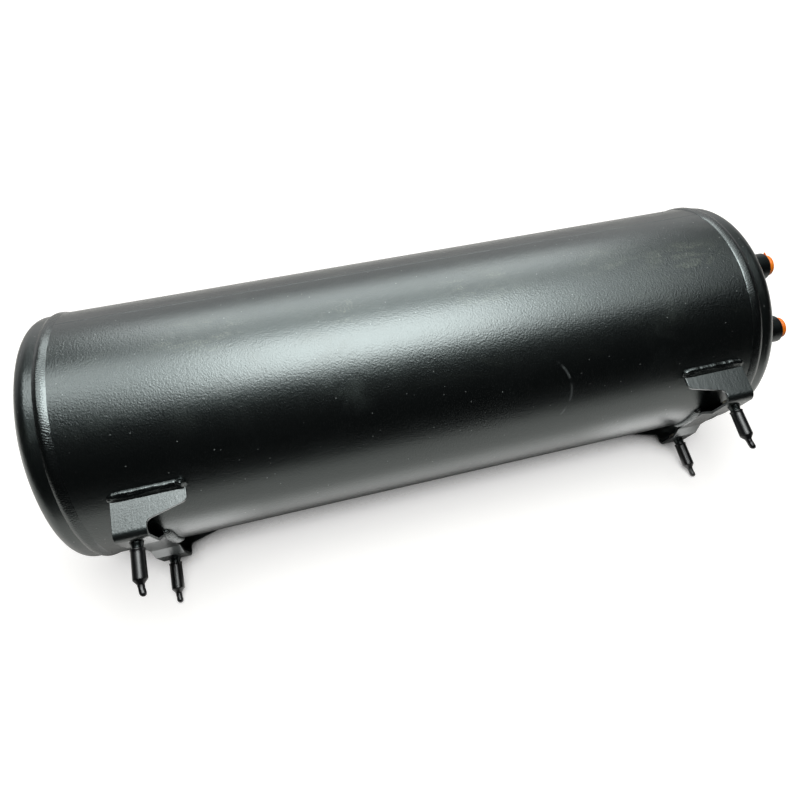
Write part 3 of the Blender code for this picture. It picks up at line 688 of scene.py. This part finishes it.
def port_middle(side):
    """Centre of a port on the dome."""
    middle = middle_of(side + "_port_boss")
    radius = math.hypot(middle[1], middle[2])
    dome = HEAD_POLE - HEAD_CROWN_RADIUS + math.sqrt(HEAD_CROWN_RADIUS ** 2 - radius ** 2)
    return np.array((dome, middle[1], middle[2]))


def make_head(end, material):
    """Dished head with its knuckle, and on the ported end two holes for the bosses."""
    outline = head_line(0) + head_line(HEAD_WALL)[::-1]
    radius, along, angle = turned_grid(outline, HEAD_SEGMENTS)
    obj = skin(end + "_dished_head", about_tank(radius, ENDS[end] * along, angle))
    if end == "ported":
        for side in SIDES:
            cut_hole(obj, about_port(port_middle(side)), PORT_RADIUS - 0.0004, PORT_SEGMENTS)
    finish_piece(obj, material, "tank", [end + "_head"])


def cut_hole(obj, place, radius, segments):
    """Cut a round hole right through a piece."""
    outline = [(0, -0.03), (radius, -0.03), (radius, 0.03), (0, 0.03)]
    cutter = skin("cutter", place(*turned_grid(outline, segments)))
    boolean = obj.modifiers.new("hole", "BOOLEAN")
    boolean.operation = "DIFFERENCE"
    boolean.solver = "EXACT"
    boolean.object = cutter
    apply_modifiers(obj)
    bpy.data.objects.remove(cutter)


def apply_modifiers(obj):
    """Turn what the modifiers show into the object's own mesh."""
    depsgraph = bpy.context.evaluated_depsgraph_get()
    mesh = bpy.data.meshes.new_from_object(obj.evaluated_get(depsgraph))
    obj.modifiers.clear()
    obj.data = mesh


# ==== Brackets
def wing_edge():
    """Inboard edge of a side wall as (offset from the studs, depth), going up."""
    wing_bottom = WALL_TOP_DEPTH + WING_DEPTH
    notch = wing_bottom + WING_TAPER
    foot = (STRIP_HALF_WIDTH, FOOT_FACE - BEND_RADIUS)
    inner_corner = (STRIP_HALF_WIDTH, notch)
    outer_corner = (WING_INBOARD, wing_bottom)
    top_corner = (WING_INBOARD, WALL_TOP_DEPTH + GAP)
    rounding = (WING_CORNER_RADIUS, WING_CORNER_STEPS)
    edge = rounded_corner(foot, inner_corner, outer_corner, *rounding)
    edge += rounded_corner(inner_corner, outer_corner, top_corner, *rounding)
    return edge + [top_corner]


def saddle_rows():
    """Rows (offset from the middle plane, depth, inboard reach) from middle to wall top."""
    center_face = SHELL_RADIUS + GAP + SHEET
    bend_center = (WALL_OFFSET - BEND_RADIUS, FOOT_FACE - BEND_RADIUS)
    bend = arc(bend_center, BEND_RADIUS, math.pi / 2, 0, 14)
    ramp = (RAMP_END, FOOT_FACE)
    flat_end = (CENTER_FLAT_HALF, center_face)
    soft_start = rounded_corner((0, center_face), flat_end, ramp, CENTER_BEND_RADIUS, 5)
    soft_end = rounded_corner(flat_end, ramp, bend[0], RAMP_BEND_RADIUS, 6)
    rows = [(0.0, center_face, STRIP_HALF_WIDTH)]
    rows += [(offset, depth, STRIP_HALF_WIDTH) for offset, depth in soft_start + soft_end + bend]
    rows += [(WALL_OFFSET, depth, reach) for reach, depth in wing_edge()]
    return rows


def make_saddle(end, material):
    """Folded sheet with rounded edges and two stud holes."""
    outboard = ENDS[end]
    studs = middle_of(end + "_upper_stud")[0]
    half = saddle_rows()
    bm = bmesh.new()
    verts = []
    other_half = [(-offset, depth, reach) for offset, depth, reach in half[:0:-1]]
    for offset, depth, reach in other_half + half:
        row = (studs + outboard * STRIP_HALF_WIDTH, studs - outboard * reach)
        verts.append([bm.verts.new((along, offset, depth)) for along in row])
    for row, following in zip(verts, verts[1:]):
        bm.faces.new((row[0], row[1], following[1], following[0]))
    bm.normal_update()
    bm.faces.ensure_lookup_table()
    if bm.faces[len(half)].normal.z < 0:
        bmesh.ops.reverse_faces(bm, faces=bm.faces)
    obj = object_from_bmesh(end + "_saddle_plate", bm, PLATE_SHARP)
    solidify = obj.modifiers.new("sheet", "SOLIDIFY")
    solidify.thickness = SHEET
    solidify.offset = -1
    solidify.use_even_offset = True
    bevel = obj.modifiers.new("rounded_edges", "BEVEL")
    bevel.width = EDGE_ROUNDING
    bevel.segments = 3
    bevel.limit_method = "ANGLE"
    bevel.angle_limit = math.radians(50)
    apply_modifiers(obj)
    for side in SIDES:
        stud = middle_of(end + "_" + side + "_stud")
        cut_hole(obj, about_stud((stud[0], stud[1], FOOT_FACE)), STUD_HOLE_RADIUS, 40)
    shade(obj.data, PLATE_SHARP)
    obj.modifiers.new("flat_faces", "WEIGHTED_NORMAL").keep_sharp = True
    apply_modifiers(obj)
    finish_piece(obj, material, "tank", [end + "_saddle"])


def lumps_along(line, lump, seed):
    """Lumps along a bead, from its running length."""
    spots = on_line(line)
    return lump * (soft_noise(spots, 0.0052, seed) + 0.5 * soft_noise(spots, 0.0023, seed + 20))


def make_wall_weld(end, side, material):
    """Lumpy bead in the corner between the shell and the welded edge of a side wall."""
    seed = 11 + 3 * ENDS[end] + SIDES[side]
    studs = middle_of(end + "_upper_stud")[0]
    start = -STRIP_HALF_WIDTH - WALL_WELD_OVERRUN
    length = WING_INBOARD + WALL_WELD_OVERRUN - start
    shares = np.linspace(0, 1, WALL_WELD_ROWS)
    turn = np.linspace(0, 1, WALL_WELD_COLUMNS)
    corner_angle = math.asin(WALL_OFFSET / SHELL_RADIUS)
    corner = np.array((WALL_OFFSET, SHELL_RADIUS * math.cos(corner_angle)))
    buried = corner - EMBED * np.array((2.0, 1.0))
    wall_start = (WALL_TOP_DEPTH - corner[1]) * 0.3
    rows = []
    for share, bump in zip(shares, lumps_along(shares * length, WALL_WELD_LUMPS, seed)):
        size = math.sqrt(1 - abs(2 * share - 1) ** 9) * (1 + 0.5 * bump)
        bulb = sum(rise * math.exp(-((share - spot) / WALL_WELD_KNOB_SPREAD) ** 2)
                   for spot, rise in WALL_WELD_KNOBS[end])
        shell_angle = corner_angle + WALL_WELD_ON_SHELL * size / SHELL_RADIUS
        on_shell = SHELL_RADIUS * np.array((math.sin(shell_angle), math.cos(shell_angle)))
        size = min(size * (1 + 0.35 * bulb), WALL_WELD_LARGEST)
        chord = corner + (0, WALL_WELD_ON_WALL * size + wall_start) - on_shell
        outward = np.array((chord[1], -chord[0])) / np.linalg.norm(chord)
        height = WALL_WELD_BULGE * size * (1 + 0.7 * bump + 1.2 * bulb)
        swell = height * np.sin(math.pi * turn ** 0.62)
        arcs = on_shell + chord * turn[:, None] + outward * swell[:, None]
        outline = np.concatenate((arcs, buried[None, :]))
        x = studs - ENDS[end] * (start + length * share)
        rows.append([(x, SIDES[side] * lateral, depth) for lateral, depth in outline])
    rows = np.array(rows)
    arcs = rows[:, :WALL_WELD_COLUMNS]
    grain = soft_noise(arcs * (0.30, 1, 1), 0.0026, seed + 60)
    grain += 0.35 * soft_noise(arcs * (0.30, 1, 1), 0.0011, seed + 61)
    pull = np.sin(math.pi * turn)[None, :] * grain * WALL_WELD_GRAIN
    arcs += np.array((0, SIDES[side] * 0.55, 0.83)) * pull[..., None]
    name = end + "_" + side + "_wall_"
    obj = skin(name + "bead", rows, sharp=70)
    finish_piece(obj, material, "tank", [name + "weld"])


def make_strip_weld(end, edge, edge_sign, material):
    """Fillet bead between the shell and one edge of a saddle's centre flat."""
    seed = 31 + 5 * ENDS[end] + edge_sign
    studs = middle_of(end + "_upper_stud")[0]
    direction = ENDS[end] * edge_sign
    half_sweep = math.asin(CENTER_FLAT_HALF / SHELL_RADIUS)
    shares = np.linspace(-1, 1, STRIP_WELD_ROWS)
    line = shares * CENTER_FLAT_HALF
    phase = math.tau * line / STRIP_WELD_RIPPLE + 2.0 * soft_noise(on_line(line), 0.011, seed + 40)
    bumps = lumps_along(line, STRIP_WELD_LUMPS, seed) + STRIP_WELD_RIPPLE_DEPTH * np.sin(phase)
    turn = np.linspace(0, math.pi / 2, 9)
    rows = []
    for share, bump in zip(shares, bumps):
        size = math.sqrt(1 - 0.85 * abs(share) ** 7) * (0.96 + 0.5 * bump)
        across = np.append(STRIP_WELD_WIDTH * size * np.cos(turn) ** 0.85, -EMBED)
        height = np.append(STRIP_WELD_HEIGHT * size * np.sin(turn) ** 0.85 * 0.97, -EMBED)
        x = studs + direction * (STRIP_HALF_WIDTH - STRIP_WELD_SINK + across)
        rows.append(about_tank(SHELL_RADIUS + height, x, share * half_sweep))
    name = end + "_" + edge + "_strip_"
    obj = skin(name + "bead", rows, sharp=70)
    finish_piece(obj, material, "tank", [name + "weld"])


# ==== Studs and caps
def make_stud(end, side, plating, paint):
    """Plated stud with a rolled thread, and the paint that built up at its foot."""
    name = end + "_" + side
    middle = middle_of(name + "_stud")
    place = about_stud((middle[0], middle[1], FOOT_FACE))
    back = -SHEET - GAP
    head_end = back - STUD_HEAD_THICKNESS
    head = [
        (0, head_end), (STUD_HEAD_RADIUS - 0.0008, head_end),
        (STUD_HEAD_RADIUS - 0.0002, head_end + 0.0002), (STUD_HEAD_RADIUS, head_end + 0.0008),
        (STUD_HEAD_RADIUS, back - 0.0004), (STUD_HEAD_RADIUS - 0.0004, back),
        (STUD_COLLAR_RADIUS, back), (STUD_COLLAR_RADIUS, -0.0002), (STUD_RADIUS - 0.0001, 0.0001),
    ]
    heights = thread_heights(0.0020, STUD_LENGTH - 0.0012, STUD_THREAD_PITCH)
    thread = [(STUD_RADIUS - 0.00005, height) for height in heights]
    tip = [(STUD_RADIUS - 0.0012, STUD_LENGTH), (0, STUD_LENGTH)]
    radius, height, angle = turned_grid(head + thread + tip, 40)
    ridge = thread_wave(height, angle, STUD_THREAD_PITCH)
    threaded = (height > 0.0030) & (height < STUD_LENGTH - 0.0004) & (radius > 0.004)
    radius = np.where(threaded, radius - STUD_THREAD_DEPTH * (1 - ridge), radius)
    points = place(radius, height, angle)
    stud = skin(name + "_threaded_stud", points, sharp=40)
    finish_piece(stud, plating, "tank", [name + "_stud"])

    collar = [(STUD_RADIUS + beyond, height) for beyond, height in NECK_OUTLINE]
    radius, height, angle = turned_grid(collar, 48)
    lumps = soft_noise(place(radius, height, angle), 0.0022, 70 + ENDS[end] * 2 + SIDES[side])
    radius = radius + np.where(radius > STUD_RADIUS, 0.00005 * lumps - 0.00002, 0)
    points = place(radius, height, angle)
    neck = skin(name + "_painted_neck", points, ring=True, sharp=60)
    finish_piece(neck, paint, "tank")


def cap_outline():
    """Vinyl cap as (radius, height): bore, mouth, sleeve, shoulder and nub."""
    bore = STUD_RADIUS + 0.00015
    tip_center = CAP_TIP_END - CAP_TIP_RADIUS
    waist = CAP_RADIUS - 0.00035
    waist_start = CAP_START + 0.0020
    outline = [(0, STUD_LENGTH + GAP), (bore, STUD_LENGTH + GAP), (bore, CAP_START + 0.0004)]
    lip_center = (CAP_RADIUS - CAP_LIP, CAP_START + CAP_LIP)
    outline += arc(lip_center, CAP_LIP, 1.5 * math.pi, math.tau, 4)
    outline += [(CAP_RADIUS - 0.00005, CAP_START + 0.0012), (waist, waist_start)]
    span = CAP_BODY_END - CAP_START - 0.0020
    sleeve = np.linspace(0, 1, 14)[1:-1]
    outline += [(waist + 0.0003 * s, waist_start + span * s) for s in sleeve]
    outline += rounded_corner(
        (CAP_RADIUS, CAP_START), (CAP_RADIUS - 0.0001, CAP_BODY_END),
        (CAP_TIP_RADIUS, CAP_NECK_START), 0.0012, 5,
    )
    outline.append((CAP_TIP_RADIUS + 0.0004, CAP_NECK_START - 0.0003))
    reach = tip_center - CAP_NECK_START - 0.0006
    for s in np.linspace(0, 1, 13):
        slimness = 0.985 + 0.015 * math.cos(math.tau * s)
        outline.append((CAP_TIP_RADIUS * slimness, CAP_NECK_START + 0.0006 + reach * s))
    outline += arc((0, tip_center), CAP_TIP_RADIUS, 0.12, math.pi / 2, 7)[:-1]
    return outline + [(0, CAP_TIP_END - 0.0002)]


def make_cap(end, side, material):
    """Dipped vinyl cap whose nub is pinched, creased and a little bent."""
    name = end + "_" + side + "_stud_cap"
    middle = middle_of(name)
    seed = 80 + 2 * ENDS[end] + SIDES[side]
    place = about_stud((middle[0], middle[1], FOOT_FACE))
    radius, height, angle = turned_grid(cap_outline(), 56)
    nub = np.clip((height - CAP_NECK_START + 0.0008) / 0.0035, 0, 1)
    creases = np.sin(3 * angle + 0.8 * seed + height * 700) * 0.5
    creases = creases + 0.5 * np.sin(5 * angle - height * 500)
    radius = radius * (1 - CAP_CREASE * nub * (1 - np.abs(creases)))
    outside = (radius > STUD_RADIUS + 0.0006) & (height > CAP_START + 0.0012)
    lumps = soft_noise(place(radius, height, angle) * (1, 0.3, 0.3), 0.0050, seed)
    radius = radius + np.where(outside, 0.00006 * lumps - 0.00004, 0)
    points = place(radius, height, angle)
    bend = np.clip((height - CAP_NECK_START) / (CAP_TIP_END - CAP_NECK_START), 0, 1)
    points[..., 0] += CAP_BEND * bend ** 1.3 * {"upper": 1, "lower": 0.6}[side]
    points[..., 1] = middle[1] + (points[..., 1] - middle[1]) * (1 - CAP_FLATNESS * nub)
    obj = skin(name + "_vinyl", points, sharp=60)
    finish_piece(obj, material, name + "_body", [name])


# ==== Ports
def make_boss(side, paint):
    """Round boss with a chamfered mouth and a pipe thread in its bore."""
    place = about_port(port_middle(side))
    corner = (PORT_RADIUS - PORT_ROUNDING, PORT_FACE - PORT_ROUNDING)
    outer = [(PORT_RADIUS, -PORT_DEPTH)] + arc(corner, PORT_ROUNDING, 0, math.pi / 2, 6)
    mouth = [(PORT_MOUTH_RADIUS, PORT_FACE), (PORT_BORE_RADIUS, PORT_FACE - PORT_MOUTH_DEPTH)]
    heights = thread_heights(-PORT_DEPTH + 0.001, PORT_FACE - 0.0016, PORT_THREAD_PITCH)[::-1]
    bore = [(PORT_BORE_RADIUS, height) for height in [*heights, -PORT_DEPTH]]
    radius, height, angle = turned_grid(outer + mouth + bore, PORT_SEGMENTS)
    ridge = thread_wave(height, angle, PORT_THREAD_PITCH)
    inside = (radius < PORT_BORE_RADIUS + 0.0002) & (height > -PORT_DEPTH + 0.0005)
    inside &= height < PORT_FACE - 0.0014
    radius = np.where(inside, radius + PORT_THREAD_DEPTH * (1 - ridge), radius)
    points = place(radius, height, angle)
    obj = skin(side + "_threaded_boss", points, ring=True, sharp=35)
    finish_piece(obj, paint, "tank", [side + "_port_boss"])


def make_port_weld(side, material):
    """Rippled fillet bead in the corner between a boss and the sloping dome."""
    center = port_middle(side)
    angle = around(320).T
    turn = np.linspace(0, math.pi / 2, 9)[None, :]
    spots = np.concatenate((np.cos(angle), np.sin(angle), angle * 0), axis=1) * PORT_RADIUS
    bump = soft_noise(spots, 0.006, 50 + SIDES[side])[:, None]
    count = round(math.tau * (PORT_RADIUS + 0.002) / PORT_WELD_RIPPLE)
    ripple = np.sin(angle * count + 1.5 * bump)
    size = 0.93 + 0.06 * bump + 0.03 * ripple
    across = PORT_WELD_WIDTH * size * np.cos(turn) ** 0.9
    height = PORT_WELD_HEIGHT * size * np.sin(turn) ** 0.9
    across = np.concatenate((across, 0 * angle - EMBED), axis=1)
    height = np.concatenate((height, 0 * angle - EMBED), axis=1)
    lateral = center[1] + (PORT_RADIUS + across) * np.sin(angle)
    depth = center[2] + (PORT_RADIUS + across) * np.cos(angle)
    dome = HEAD_POLE - HEAD_CROWN_RADIUS
    dome = dome + np.sqrt(HEAD_CROWN_RADIUS ** 2 - lateral ** 2 - depth ** 2)
    points = np.stack((dome + height, lateral, depth), -1)
    obj = skin(side + "_port_bead", points, ring=True, sharp=70)
    finish_piece(obj, material, "tank", [side + "_port_weld"])


def make_plug(side, material):
    """Orange push-in plug: ribbed stem, cupped flange and a pointed pull tab."""
    center = port_middle(side)
    place = about_port(center)
    stem = PORT_BORE_RADIUS - 0.0004
    face = PORT_FACE + GAP
    top = face + PLUG_FLANGE_THICKNESS
    bottom = face - PLUG_STEM_LENGTH
    cup_floor = face + PLUG_WALL
    ribs = []
    for height in np.linspace(face - 0.0012, bottom + 0.0008, PLUG_RIBS):
        ribs += [(stem, height), (stem - 0.0005, height - 0.0003)]
    outline = [(0, face + 0.0002), (stem - PLUG_WALL, face + 0.0002), (stem - PLUG_WALL, bottom)]
    outline += [(stem - 0.0008, bottom)] + ribs[::-1] + [(stem, face)]
    flange = PLUG_FLANGE_RADIUS
    cup = flange - 2 * PLUG_WALL
    outline += [
        (flange - 0.0010, face), (flange - 0.0004, face + 0.0003), (flange - 0.0004, face + 0.0032),
        (flange - 0.0001, face + 0.0038), (flange, face + 0.0044),
    ]
    outline += arc((flange - 0.0009, top - 0.0009), 0.0009, 0, math.pi / 2, 6)
    outline += [(cup + 0.0003, top), (cup, top - 0.0004)]
    outline.append((flange - 2.4 * PLUG_WALL, cup_floor + 0.0003))
    outline += [(flange - 2.6 * PLUG_WALL, cup_floor), (0, cup_floor)]
    points = place(*turned_grid(outline, PORT_SEGMENTS))
    name = side + "_port_plug"
    body = skin(side + "_plug_moulding", points, sharp=45)
    finish_piece(body, material, name + "_body", [name])

    share = np.linspace(0, 1, 12)[:, None]
    turn = around(20)
    length = 2 * PLUG_WALL + PLUG_TAB_REACH
    out = cup + 0.0004 + share * (length - 0.0004)
    half_width = 0.0025 * (1 - share ** 2.2) + 0.0004
    half_thickness = 0.0007 * (1 - 0.35 * share)
    across = half_width * np.cos(turn)
    lift = face + PLUG_TAB_HEIGHT * PLUG_FLANGE_THICKNESS + half_thickness * np.sin(turn)
    tab_angle = -PLUG_TAB_ANGLES[side]
    lateral = center[1] + out * math.sin(tab_angle) + across * math.cos(tab_angle)
    depth = center[2] + out * math.cos(tab_angle) - across * math.sin(tab_angle)
    points = np.stack(np.broadcast_arrays(center[0] + lift, lateral, depth), -1)
    tab = skin(side + "_plug_tab", points, sharp=60)
    finish_piece(tab, material, name + "_body")


# ==== Stage, light and camera
def make_floor():
    """Pale sheet that looks white and keeps the object's soft shadow.

    It is dark far in front of the tank.  It glows towards the camera, except where the tank
    stands close above it, and in mirrored rays, mostly beside the feet, to light their undersides.
    """
    material, shader, nodes = new_material("pale_floor")
    y = nodes.axis("Y")
    outward = nodes.math("ABSOLUTE", nodes.axis("X"))
    in_front = nodes.ramp(y, -0.30, -0.53)
    beside = nodes.product(
        nodes.ramp(y, -0.17, -0.12), nodes.ramp(y, -0.074, -0.092),
        nodes.ramp(outward, 0.18, 0.25, 0.4, 1.0), nodes.ramp(outward, 0.345, 0.305))
    # painted contact shadow: the floor's glow towards the camera fades where the tank stands close
    # above it
    open_air = nodes.add("ShaderNodeAmbientOcclusion", {"Distance": 0.045}, samples=8)
    lit = nodes.ramp(open_air.outputs["AO"], 0.16, 0.60)
    pale = nodes.blend(nodes.noise(3.0, 3.0), (0.52, 0.500, 0.480), (0.55, 0.530, 0.510))
    nodes.fill(shader, {
        "Base Color": nodes.blend(in_front, pale, (0.04, 0.04, 0.04)),
        "Roughness": 0.75, "Specular IOR Level": 0.1,
    })
    path = nodes.add("ShaderNodeLightPath").outputs
    away = nodes.distance((0, 0, 0), nodes.stretched((0.7, 1.0, 1.0)))
    seen = nodes.math("MAXIMUM", in_front, nodes.ramp(away, 0.40, 1.00))
    seen = nodes.product(nodes.ramp(seen, 0.0, 1.0, 0.68, 1.0), lit, path["Is Camera Ray"])
    mirrored = nodes.math("ADD", nodes.ramp(in_front, 0.0, 1.0, 0.02, 0.0), beside)
    mirrored = nodes.product(mirrored, path["Is Glossy Ray"])
    strength = nodes.math("ADD", seen, mirrored)
    glow = nodes.add("ShaderNodeEmission", {"Color": (1.0, 0.995, 0.99), "Strength": strength})
    both = nodes.add("ShaderNodeAddShader", {0: shader.outputs[0], 1: glow.outputs[0]})
    nodes.fill(nodes.tree.nodes["Material Output"], {"Surface": both.outputs[0]})
    bpy.ops.mesh.primitive_plane_add(size=8.0, location=(0, 0, -0.0004))
    floor = bpy.context.object
    floor.name = "floor"
    floor.data.materials.append(material)


def make_world():
    """Dim surroundings with a pale wall beyond the tank; white where the camera looks past it."""
    world = bpy.data.worlds.new("studio")
    bpy.context.scene.world = world
    world.use_nodes = True
    world.node_tree.nodes.clear()
    nodes = Nodes(world, "Generated")
    beyond = nodes.ramp(nodes.axis("Y"), -0.05, 0.90, 0.006, 0.50)
    low = nodes.ramp(nodes.axis("Z"), 0.30, 0.75, 1.0, 0.15)
    seen = nodes.add("ShaderNodeLightPath").outputs["Is Camera Ray"]
    strength = nodes.math("MAXIMUM", nodes.product(beyond, low), seen)
    background = nodes.add("ShaderNodeBackground", {"Color": (1.0, 1.0, 1.0), "Strength": strength})
    nodes.add("ShaderNodeOutputWorld", {"Surface": background.outputs[0]})


def make_lamp(name, location, size, radiance, tilt):
    """Soft box facing down, or tilted about X; radiance is what a mirror would show."""
    light = bpy.data.lights.new(name, "AREA")
    light.shape = "RECTANGLE"
    light.size, light.size_y = size
    light.energy = radiance * math.pi * size[0] * size[1]
    light.color = LAMP_COLOR
    lamp = bpy.data.objects.new(name, light)
    lamp.location = location
    lamp.rotation_euler = (math.radians(tilt), 0, 0)
    bpy.context.scene.collection.objects.link(lamp)


def make_camera():
    """Camera above the front of the tank, at the photographer's angle."""
    data = bpy.data.cameras.new("camera")
    data.lens = CAMERA_LENS
    data.shift_x, data.shift_y = CAMERA_SHIFT
    data.clip_start = 0.01
    camera = bpy.data.objects.new("camera", data)
    camera.location = Vector(MIDDLE) + CAMERA_OFFSET
    turn = Matrix.Rotation(CAMERA_YAW, 3, "Z") @ Matrix.Rotation(CAMERA_TILT, 3, "X")
    camera.rotation_euler = (turn @ Matrix.Rotation(CAMERA_ROLL, 3, "Z")).to_euler()
    bpy.context.scene.collection.objects.link(camera)
    bpy.context.scene.camera = camera


def main():
    shell_paint = black_paint(
        "satin_black_shell", (0.0011, 0.0014, 0.0015), roughness=0.29, peel=1.0, dust=0.13,
        dusty=DUSTY_PLACES, scratched=True)
    head_paint = black_paint(
        "satin_black_head", (0.0012, 0.0015, 0.0016), roughness=0.31, peel=0.8, dust=0.06)
    plate_paint = black_paint(
        "satin_black_plate", (0.0016, 0.0019, 0.0020), roughness=0.38, peel=0.6, dust=0.03,
        runs=0.6, coat_ior=2.0)
    weld_paint = black_paint(
        "satin_black_weld", (0.0014, 0.0017, 0.0018), roughness=0.25, peel=1.0, dust=0.04)
    boss_paint = black_paint(
        "satin_black_boss", (0.0016, 0.0019, 0.0020), roughness=0.34, peel=0.6, specular=0.5,
        coat=0.35)
    plating = plated_steel()
    vinyl = black_vinyl()
    orange = orange_plastic()

    make_shell(shell_paint)
    make_seam(shell_paint)
    for end in ENDS:
        make_head(end, head_paint)
        make_girth_weld(end, weld_paint)
        make_saddle(end, plate_paint)
        make_strip_weld(end, "outboard", 1, weld_paint)
        make_strip_weld(end, "inboard", -1, weld_paint)
        for side in SIDES:
            make_wall_weld(end, side, weld_paint)
            make_stud(end, side, plating, boss_paint)
            make_cap(end, side, vinyl)
    for side in SIDES:
        make_boss(side, boss_paint)
        make_port_weld(side, weld_paint)
        make_plug(side, orange)

    make_floor()
    make_world()
    for lamp in LAMPS:
        make_lamp(*lamp)
    make_camera()
    bpy.context.scene.view_settings.view_transform = "Standard"


main()
